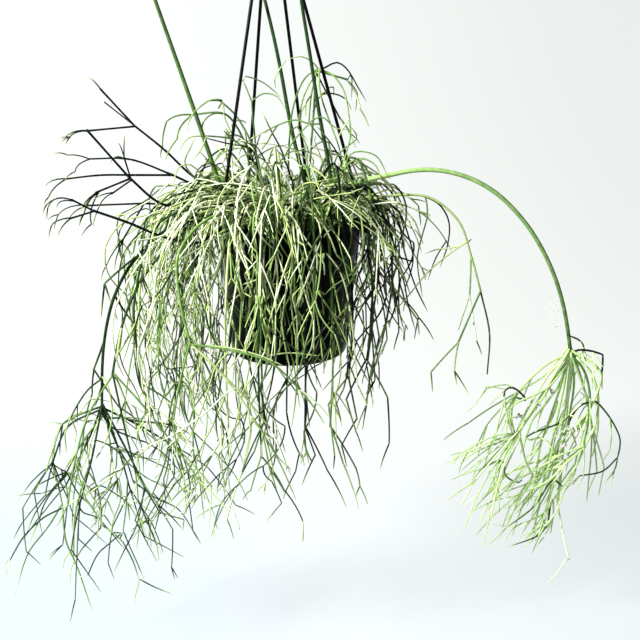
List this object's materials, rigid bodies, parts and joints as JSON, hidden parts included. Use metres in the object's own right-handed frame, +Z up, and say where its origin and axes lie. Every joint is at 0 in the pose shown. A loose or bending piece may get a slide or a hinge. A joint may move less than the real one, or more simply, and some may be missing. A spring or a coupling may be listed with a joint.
{
  "type": "potted mistletoe cactus in a hanging pot",
  "caption": "Trailing mistletoe cactus with thin jointed green stems in a round black plastic pot, held by strands that meet at a hook.",
  "frame": {"origin": "the inner crown of the hook's loop, where the peg or ceiling hook that holds the pot bears", "axes": "+Z up; the picture looks along +Y from the front, so +X is to its right, where the long arching stem hangs; the pot's foot faces -Z"},
  "size_m": [0.7734, 0.3613, 0.8109],
  "materials": {
    "pot_plastic": "satin",
    "hanger_plastic": "satin",
    "soil": "matte",
    "stem_mint": "satin",
    "stem_green": "satin",
    "stem_pale": "satin",
    "stem_dark": "satin"
  },
  "bodies": {
    "root": {"hanger_hook": "hanger_plastic", "hanger_strand_back_left": "hanger_plastic", "hanger_strand_back_right": "hanger_plastic", "hanger_strand_front_left": "hanger_plastic", "hanger_strand_front_right": "hanger_plastic", "pot": "pot_plastic", "shoot_arch_right": "stem_mint", "shoot_crown_left": "stem_green", "shoot_crown_right": "stem_green", "shoot_dome_1": "stem_pale", "shoot_dome_2": "stem_green", "shoot_dome_3": "stem_green", "shoot_dome_4": "stem_dark", "shoot_dome_5": "stem_pale", "shoot_dome_6": "stem_green", "shoot_dome_7": "stem_green", "shoot_dome_8": "stem_dark", "shoot_dome_9": "stem_pale", "shoot_front": "stem_pale", "shoot_left_arc_1": "stem_dark", "shoot_left_arc_2": "stem_green", "shoot_low_dark": "stem_dark", "shoot_second_right": "stem_green", "shoot_skirt_1": "stem_pale", "shoot_skirt_10": "stem_green", "shoot_skirt_11": "stem_green", "shoot_skirt_12": "stem_dark", "shoot_skirt_13": "stem_pale", "shoot_skirt_14": "stem_green", "shoot_skirt_15": "stem_green", "shoot_skirt_2": "stem_green", "shoot_skirt_3": "stem_green", "shoot_skirt_4": "stem_dark", "shoot_skirt_5": "stem_pale", "shoot_skirt_6": "stem_green", "shoot_skirt_7": "stem_green", "shoot_skirt_8": "stem_dark", "shoot_skirt_9": "stem_pale", "shoot_tall_left": "stem_green", "shoot_tall_middle": "stem_green", "shoot_tall_right": "stem_green", "shoot_upper_left_1": "stem_dark", "shoot_upper_left_2": "stem_dark", "shoot_upper_left_3": "stem_dark", "shoot_upper_left_4": "stem_dark", "soil": "soil"}
  },
  "joints": []
}
